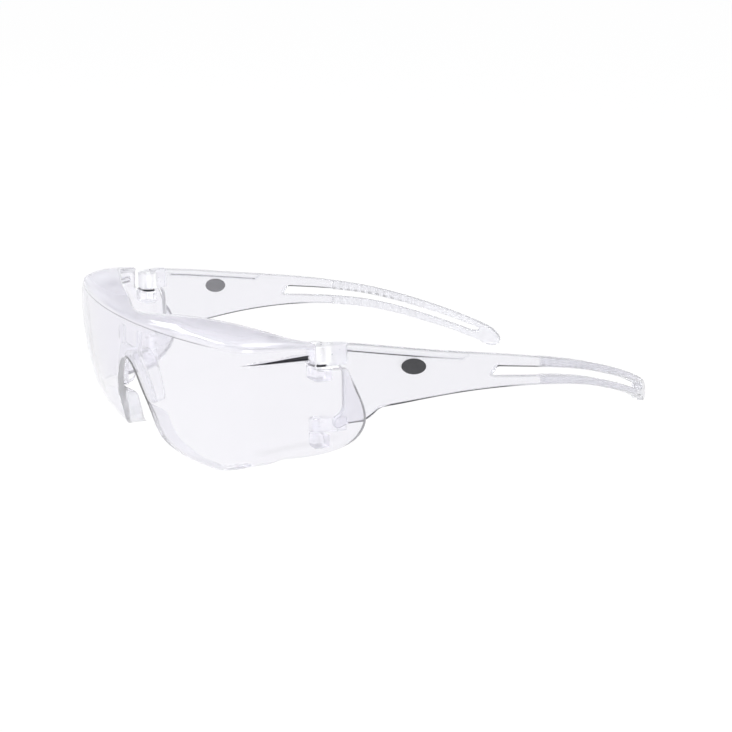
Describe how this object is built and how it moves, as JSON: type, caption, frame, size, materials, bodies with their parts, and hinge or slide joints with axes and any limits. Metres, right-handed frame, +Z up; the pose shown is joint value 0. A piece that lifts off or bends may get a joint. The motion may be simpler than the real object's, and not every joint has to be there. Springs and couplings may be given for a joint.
{
  "type": "safety glasses",
  "caption": "Clear over-the-glasses safety spectacles: one wraparound lens with brow ledge and side shields, two folding temples with a long open slot.",
  "frame": {"origin": "on the surface the spectacles stand on, under the middle of the whole object's box", "axes": "+X towards the wearer's left, +Y rearward along the temples, +Z up; the lens faces -Y"},
  "size_m": [0.1452, 0.1844, 0.0496],
  "materials": {
    "clear_shield": "polished, water clear",
    "clear_temple": "polished, water clear",
    "clear_bridge": "clear, slightly softer sheen",
    "frosted_grip": "frosted, ribbed",
    "hinge_pin": "smooth",
    "dark_ink": "flat print"
  },
  "bodies": {
    "front": {"front_shield": "clear_shield", "nose_bridge": "clear_bridge", "upper_hinge_pin_left": "hinge_pin", "lower_hinge_pin_left": "hinge_pin", "upper_hinge_pin_right": "hinge_pin", "lower_hinge_pin_right": "hinge_pin"},
    "left_temple": {"temple_left": "clear_temple", "temple_grip_left": "frosted_grip", "printed_mark_left": "dark_ink"},
    "right_temple": {"temple_right": "clear_temple", "temple_grip_right": "frosted_grip", "printed_mark_right": "dark_ink"}
  },
  "joints": [
    {"name": "left_temple_hinge", "type": "hinge", "parent": "front", "child": "left_temple", "pos_m": [0.0615, -0.05471, 0.028], "axis": [0, 0, 1], "range_deg": [0, 76]},
    {"name": "right_temple_hinge", "type": "hinge", "parent": "front", "child": "right_temple", "pos_m": [-0.0615, -0.05471, 0.028], "axis": [0, 0, -1], "range_deg": [0, 40]}
  ]
}
